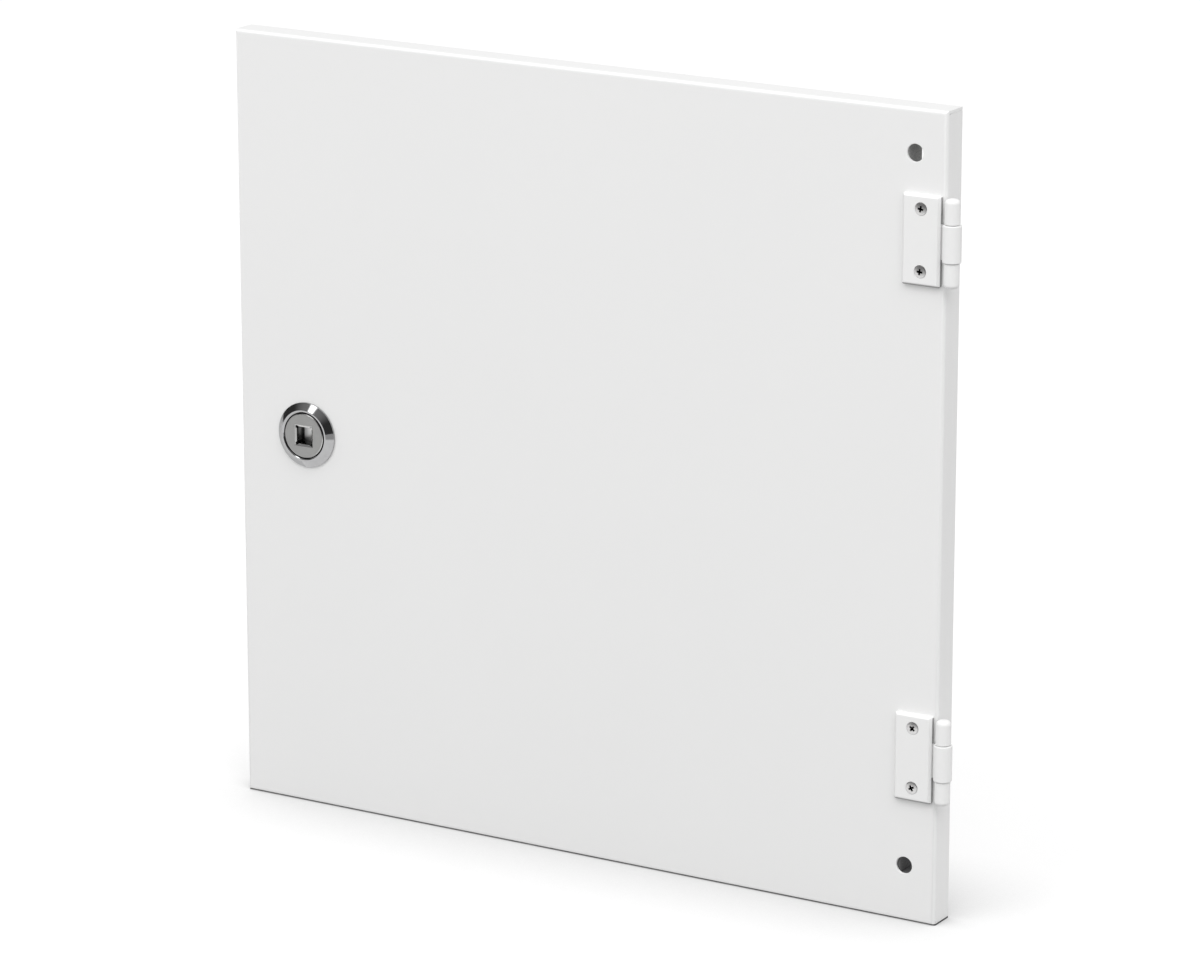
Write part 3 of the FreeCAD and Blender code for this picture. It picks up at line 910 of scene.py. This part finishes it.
def lock_housing_piece():
    """Ring and threaded body joined, bored through, and notched at the rear from three to six o'clock."""
    housing = turned("lock_ring", [
        (0, pan_front), (ring_radius, pan_front),
        (ring_radius, pan_front - ring_skirt, ring_skirt_rounding),
        (ring_land_radius, ring_front, ring_land_rounding), (ring_lip_radius, ring_front, ring_lip_rounding),
        (counterbore_radius, ring_front + ring_lip_depth, 0.05), (counterbore_radius, counterbore_floor),
        (0, counterbore_floor),
    ], at_lock, segments=160)
    body = threaded_rod(
        "thread", thread_radius, housing_thread_pitch, thread_start, housing_high.y, at_lock, around=128,
        flat=thread_flat)
    collar_outline = flatted_circle(thread_radius - 3 * clear, thread_flat - 3 * clear)
    shaped(housing, [stamped("collar", collar_outline, collar_front, collar_back), body], "UNION")
    bore = drill(core_bore_radius, ring_front - past, housing_high.y + past, at_lock, segments=96)
    first, last = math.radians(notch_margin_angle), math.radians(-90 - notch_margin_angle)
    outline = [(lock_axis.x, lock_axis.z)] + arc_round_lock(thread_radius + 3 * past, first, last, 12)
    notch = stamped("notch", outline, notch_floor, housing_high.y + past)
    return shaped(housing, [bore, notch])


def from_lock_axis(place):
    """How far a point is from the lock's axis."""
    middle = (lock_axis.x * MM, 0, lock_axis.z * MM)
    return place.vector("SUBTRACT", middle).vector("MULTIPLY", (1, 0, 1)).vector("LENGTH")


def polished_chrome():
    """Mirror chrome over a casting, with faint waves and smears; the counterbore is unpolished and painted black,
    for the shade in it.
    """
    material, shader, place = new_finish("polished_chrome", {"Metallic": 1.0})
    smears = place.noise(240.0, detail=3.0, roughness=0.6)
    waves = place.noise(420.0, detail=1.0)
    outside = from_lock_axis(place).past((counterbore_radius + 0.06) * MM, blur=0.06 * MM)
    depth = place.part("Y")
    behind_lip = depth.past((ring_front + ring_lip_depth) * MM, blur=0.08 * MM)
    # Painted shade: the counterbore is coloured black, where shade falls inside it.
    counterbore_shade = behind_lip * (1 - depth.past(sheet_back * MM, blur=0.2 * MM)) * (1 - outside)
    plate = smears.mixed((0.41, 0.41, 0.415), (0.48, 0.48, 0.485))
    feed(shader, {
        "Base Color": counterbore_shade.mixed(plate, (0.02, 0.02, 0.02)),
        "Roughness": 0.05 + 0.06 * smears + 0.4 * counterbore_shade,
        "Normal": waves.relief(0.003 * MM),
    })
    return material


chrome = polished_chrome()
dressed(lock_housing_piece(), "lock_housing", chrome, crease=24)

# Lock nut
# A zinc-plated hexagon nut on the housing's thread, behind the sheet, that clamps the ring to the door.


def on_lock_axis(piece, name):
    """Moves a piece that was made round the origin to the lock's axis, under its own name."""
    piece.data.transform(Matrix.Translation((lock_axis.x * MM, 0, lock_axis.z * MM)))
    piece.name = name
    return piece


lock_nut_low, lock_nut_high = box_of("lock_nut")
lock_nut = on_lock_axis(
    nut_shape(half_width("lock_nut"), thread_radius + clear, lock_nut_low.y, lock_nut_high.y), "lock_hexagon")
dressed(lock_nut, "lock_nut", zinc)

# Lock insert
# The turning core, turned from bar and nickel-plated satin: a round head with a square key socket broached
# into it, a shaft with a seal groove, and a square shank for the cam.

insert_back = box_of("lock_insert")[1].y
insert_radius = half_width("lock_insert")
insert_edge = 0.35
insert_rounding = 0.12
insert_head_back = ring_front + 1.8
shaft_radius = 8.0
shaft_end = 18.7
seal_low, seal_high = box_of("lock_seal")
seal_floor = 6.45
seal_play = 0.05
shank_square = 8.0
key_square = 8.2
key_depth = 7.2
key_mouth = 9.0
key_lead_in = 1.05
key_lead_in_depth = 0.65
key_taper_depth = 2.6
key_corner_radius = 0.8
key_floor_angle = 24.0


def square_bar(name, stations):
    """A square bar on the lock's axis through (half side, depth) stations."""
    rings = []
    for half, depth in stations:
        corners = ((-half, -half), (half, -half), (half, half), (-half, half))
        rings.append([(lock_axis.x + x, depth, lock_axis.z + z) for x, z in corners])
    return lofted(name, rings)


def lock_insert_piece():
    """The core, with the socket, its bevelled and tapered mouth and its four relieved corners cut in."""
    core = turned("lock_core", [
        (0, ring_front), (insert_radius - insert_edge, ring_front, insert_rounding),
        (insert_radius, ring_front + insert_edge, insert_rounding), (insert_radius, insert_head_back, 0.1),
        (shaft_radius, insert_head_back), (shaft_radius, seal_low.y - seal_play),
        (seal_floor, seal_low.y - seal_play), (seal_floor, seal_high.y + seal_play),
        (shaft_radius, seal_high.y + seal_play), (shaft_radius, shaft_end, 0.2), (0, shaft_end),
    ], at_lock, segments=128)
    shank = square_bar("shank", ((shank_square / 2, shaft_end - past), (shank_square / 2, insert_back)))
    shaped(core, [shank], "UNION")
    mouth, floor = ring_front, ring_front + key_depth
    half, mouth_half = key_square / 2, key_mouth / 2
    slope = key_lead_in / key_lead_in_depth
    tools = [
        square_bar("socket", ((half, mouth - past), (half, floor))),
        square_bar("lead_in", (
            (mouth_half + key_lead_in + slope * past, mouth - past), (mouth_half, mouth + key_lead_in_depth),
            (half - clear, mouth + key_taper_depth))),
    ]
    relief_half = (half + mouth_half) / 2
    for x, z in ((-1, -1), (-1, 1), (1, -1), (1, 1)):
        corner = along_y(lock_axis.x + x * relief_half, 0, lock_axis.z + z * relief_half)
        tools.append(drill(key_corner_radius, mouth - past, floor, corner, segments=24))
    dip = half * math.tan(math.radians(key_floor_angle))
    trough = [(-half, floor - past), (half, floor - past), (half, floor), (0, floor + dip), (-half, floor)]
    tools.append(lofted("trough", [
        [(lock_axis.x + x, y, lock_axis.z + z) for x, y in trough] for z in (-half, half)
    ]))
    return shaped(core, tools)


def satin_nickel():
    """Turned and satin-plated: fine rings; painted shade as a black edge beside the groove and as dark socket
    walls; a socket floor with painted light, bright at its right.
    """
    material, shader, place = new_finish("satin_nickel", {"Metallic": 1.0})
    radius = from_lock_axis(place)
    depth = place.part("Y")
    bevel = depth.past((ring_front + 0.08) * MM, blur=0.08 * MM)
    socket = depth.past((ring_front + key_lead_in_depth + 0.1) * MM, blur=0.2 * MM)
    bottom = depth.past((ring_front + key_depth - 0.05) * MM, blur=0.06 * MM)
    rim = radius.past((insert_radius - 0.3) * MM, blur=0.1 * MM)
    # Painted shade: the insert's side beyond its front rounding is black, for the shade in the groove round it.
    edge = depth.past((ring_front + insert_edge + 0.05) * MM, blur=0.1 * MM) * rim
    rings = radius.node("ShaderNodeTexNoise", {"noise_dimensions": "1D"}, {
        "W": radius, "Scale": 2600.0, "Detail": 3.0})
    clouds = place.noise(300.0, detail=3.0)
    face = (0.6 * rings + 0.4 * clouds).mixed((0.31, 0.31, 0.305), (0.42, 0.42, 0.415))
    # Painted shade: the socket's walls are coloured dark.
    walls = socket.mixed(bevel.mixed(face, (0.60, 0.60, 0.595)), (0.17, 0.17, 0.17))
    # Painted light: the socket's floor is coloured from dark at its left to near white at its right.
    painted_floor_light = place.part("X").past((lock_axis.x - key_square / 3) * MM, blur=key_square / 2 * MM)
    cut = bottom.mixed(walls, painted_floor_light.mixed((0.35, 0.35, 0.35), (0.98, 0.98, 0.97)))
    shank = depth.past((ring_front + key_depth + key_square / 2) * MM, blur=0.2 * MM)
    colour = shank.mixed(cut, (0.58, 0.58, 0.57))
    feed(shader, {
        "Base Color": edge.mixed(colour, (0.02, 0.02, 0.02)),
        "Roughness": 0.28 + 0.14 * rings - 0.16 * bevel + 0.18 * bottom,
        "Normal": rings.relief(0.010 * MM),
    })
    return material


satin = satin_nickel()
dressed(lock_insert_piece(), "lock_insert", satin, crease=24)

# Lock seal
# A square-cut ring of black rubber in the core's groove, out of sight inside the housing.


def seal_rubber():
    """Smooth black rubber with a faint moulding bloom."""
    material, shader, place = new_finish("seal_rubber", {"Specular IOR Level": 0.4})
    bloom = place.noise(500.0, detail=3.0)
    feed(shader, {
        "Base Color": bloom.mixed((0.015, 0.015, 0.015), (0.035, 0.035, 0.035)),
        "Roughness": 0.45 + 0.2 * bloom,
        "Normal": bloom.relief(0.01 * MM),
    })
    return material


seal = frame["nodes"]["lock_seal"]
seal.data.materials.clear()
seal.data.materials.append(seal_rubber())

# Stop washer and cam
# Pressed from zinc-plated steel sheet. The stop washer's lug turns in the housing's notch; the cam beyond it
# draws on the frame's lip. Both fit the core's square shank.

shank_clearance = 0.05
stop_disc_radius = 7.75
stop_lug_half = 2.5
stop_edge = 0.2
cam_tip_radius = 3.0
cam_edge = 0.3


def on_shank(piece, low, high):
    """Cuts the hole for the square shank through a pressed piece."""
    half = shank_square / 2 + shank_clearance
    return shaped(piece, [square_bar("hole", ((half, low.y - past), (half, high.y + past)))])


stop_low, stop_high = box_of("stop_washer")
lug_start = math.asin(stop_lug_half / stop_disc_radius)
stop_outline = arc_round_lock(stop_disc_radius, lug_start, math.tau - lug_start, 60)
stop_outline += [(stop_high.x, lock_axis.z - stop_lug_half), (stop_high.x, lock_axis.z + stop_lug_half)]
stop_piece = on_shank(
    stamped("lock_stop", stop_outline, stop_low.y, stop_high.y, stop_edge), stop_low, stop_high)
dressed(stop_piece, "stop_washer", zinc)

cam_low, cam_high = box_of("lock_cam")
cam_round = (cam_high.z - cam_low.z) / 2 * 0.999
cam_outline = soft_corners([
    (cam_low.x, cam_low.z, cam_tip_radius), (cam_high.x, cam_low.z, cam_round),
    (cam_high.x, cam_high.z, cam_round), (cam_low.x, cam_high.z, cam_tip_radius),
], steps=14)
cam_piece = on_shank(
    stamped("lock_tongue", cam_outline, cam_low.y, cam_high.y, cam_edge), cam_low, cam_high)
dressed(cam_piece, "lock_cam", zinc)

# Cam washer and screw
# A thick washer and an M6 hexagon screw, zinc-plated, that hold the cam on the end of the shank.

cam_screw_radius = 3.0
cam_screw_hole_radius = 3.2
cam_screw_pitch = 1.0
cam_washer_edge = 0.25
cam_washer_low, cam_washer_high = box_of("cam_washer")
cam_washer_piece = on_lock_axis(washer_shape(
    half_width("cam_washer"), cam_screw_hole_radius, cam_washer_low.y, cam_washer_high.y, cam_washer_edge,
), "lock_cam_disc")
dressed(cam_washer_piece, "cam_washer", zinc)

cam_screw_low, cam_screw_high = box_of("cam_screw")
cam_screw_piece = on_lock_axis(nut_shape(
    half_width("cam_screw"), 0, cam_washer_high.y, cam_screw_high.y, blunt_front=True,
), "lock_cam_screw")
cam_thread = threaded_rod(
    "shank", cam_screw_radius, cam_screw_pitch, cam_screw_low.y, cam_washer_high.y + past, at_lock,
    around=32)
shaped(cam_screw_piece, [cam_thread], "UNION")
dressed(cam_screw_piece, "cam_screw", zinc)

# Studio
# A plain white floor, an even pale room, a softbox in front and above, and a wide soft light at the right.
# A dark tent that only reflections see gives bright metal its dark bands.

floor_height = pan_low.z * MM
floor_half = 3.0
floor_tone = 0.36
floor_glow = 0.6
shade_reach = 0.09
shade_lean = Vector((0, -0.34, 0.94))
mirrored_heading = Vector((0.6, -0.8, 0))
mirrored_reach = (0.43, 0.53)
mirrored_back = (0.0, 0.6)
room_strength = 1.028
softbox_direction = Vector((-0.194, -0.590, 0.782)).normalized()
softbox_distance = 6.6
softbox_sides = (2.25, 2.25)
softbox_watts = 83.3
side_direction = Vector((0.4545, -0.4545, 0.766)).normalized()
side_distance = 7.2
side_sides = (3.6, 3.6)
side_watts = 131.4
tent_radius = 3.6
tent_shade = 0.05
tent_brightest = 4.0
tent_glows = (  # direction, angles of the rim and of the even core, strength
    (softbox_direction, 11.0, 3.0, tent_brightest), (softbox_direction, 50.0, 8.0, 0.25),
    (Vector((0, 0, 1)), 34.0, 20.0, 1.5),
)

scene = bpy.context.scene
scene.view_settings.view_transform = "Standard"

floor_mesh = bpy.data.meshes.new("floor")
floor_ways = ((-1, -1), (1, -1), (1, 1), (-1, 1))
floor_mesh.from_pydata(
    [(x * floor_half, y * floor_half, floor_height) for x, y in floor_ways], [], [(0, 1, 2, 3)])
floor = placed("floor", floor_mesh)
floor_finish, floor_shader, floor_place = new_finish("floor_white", {
    "Base Color": (floor_tone, floor_tone, floor_tone, 1), "Roughness": 0.9, "Specular IOR Level": 0.1,
    "Emission Strength": 1.0,
})


def shown_directly(wire, mirrored=1.0):
    """1 for what the camera sees directly or through glass, and a share of it for what it sees mirrored."""
    kinds = ("Camera", "Transmission", "Glossy")
    direct, through, mirror = (wire.node("ShaderNodeLightPath", {}, {}, f"Is {kind} Ray") for kind in kinds)
    return wire.math("MINIMUM", direct + through + mirror * mirrored, 1.0)


# The glow fades beside whatever stands on the floor, most behind it, as the light comes from in front: a painted
# shadow.
# The leaning normal comes through a node, because an unlinked Normal socket ignores its own value.
onward = floor_place.vector("DOT_PRODUCT", mirrored_heading)
behind = floor_place.part("Y").ramp(*mirrored_back)
mirrored = (1 - onward.ramp(*mirrored_reach)) * (1 - behind)
lean = floor_place.node("ShaderNodeVectorMath", {"operation": "NORMALIZE"}, {0: shade_lean})
unshaded = floor_place.node(
    "ShaderNodeAmbientOcclusion", {"samples": 8}, {"Distance": shade_reach, "Normal": lean}, "AO")
glow = floor_glow * unshaded
feed(floor_shader, {
    "Emission Color": (shown_directly(floor_place, mirrored) * glow).mixed((0, 0, 0), (1, 1, 1)),
})
floor_mesh.materials.append(floor_finish)

world = bpy.data.worlds.new("pale_room")
scene.world = world
world.use_nodes = True
room = Wire(world.node_tree)
background = world.node_tree.nodes["Background"]
feed(background, {"Strength": room_strength + (1 - room_strength) * shown_directly(room)})
background.inputs["Color"].default_value = (1, 1, 1, 1)


def area_lamp(name, watts, sides, place, target):
    """A soft light, as wide and as long as its sides, that faces a target."""
    lamp = bpy.data.lights.new(name, "AREA")
    lamp.shape = "RECTANGLE"
    lamp.energy = watts
    lamp.size, lamp.size_y = sides
    holder = placed(name, lamp)
    holder.location = place
    holder.rotation_euler = (Vector(target) - Vector(place)).to_track_quat("-Z", "Y").to_euler()
    holder.visible_glossy = False


door_middle = (pan_low + pan_high) / 2 * MM
lock_front = Vector((lock_axis.x, ring_front, lock_axis.z)) * MM
softbox_place = lock_front + softbox_direction * softbox_distance
area_lamp("softbox", softbox_watts, softbox_sides, softbox_place, lock_front)
area_lamp("side", side_watts, side_sides, door_middle + side_direction * side_distance, door_middle)

tent_shape = bmesh.new()
bmesh.ops.create_uvsphere(tent_shape, u_segments=64, v_segments=32, radius=tent_radius)
tent_mesh = bpy.data.meshes.new("dark_tent")
bmesh.ops.translate(tent_shape, vec=lock_front, verts=tent_shape.verts)
tent_shape.to_mesh(tent_mesh)
tent_shape.free()
tent = placed("dark_tent", tent_mesh)
tent_finish, tent_shader, tent_place = new_finish("tent_cloth", {
    "Base Color": (0, 0, 0, 1), "Specular IOR Level": 0.0, "Emission Strength": tent_brightest,
})
heading = tent_place.vector("SUBTRACT", lock_front).vector("NORMALIZE")
shine = tent_shade
for direction, rim, core, strength in tent_glows:
    facing = heading.vector("DOT_PRODUCT", direction)
    low, high = math.cos(math.radians(rim)), math.cos(math.radians(core))
    shine = facing.ramp(low, high) * strength + shine
feed(tent_shader, {"Emission Color": (shine * (1 / tent_brightest)).mixed((0, 0, 0), (1, 1, 1))})
tent_mesh.materials.append(tent_finish)
tent.visible_camera = tent.visible_diffuse = tent.visible_transmission = tent.visible_shadow = False

# Camera
# At the photograph's angle: right of the door's front and a little above it, with a long lens.

camera_aim = Vector((-0.19158, pan_front * MM, 0.13381))
camera_distance = 2.64418
camera_azimuth = math.radians(30.906)
camera_elevation = math.radians(15.493)
camera_lens = 162.043

back = Vector((
    math.sin(camera_azimuth) * math.cos(camera_elevation),
    -math.cos(camera_azimuth) * math.cos(camera_elevation),
    math.sin(camera_elevation),
))
camera_data = bpy.data.cameras.new("camera")
camera_data.lens = camera_lens
camera_data.sensor_width = 36.0
camera = placed("camera", camera_data)
camera.location = camera_aim + back * camera_distance
camera.rotation_euler = (-back).to_track_quat("-Z", "Y").to_euler()
scene.camera = camera
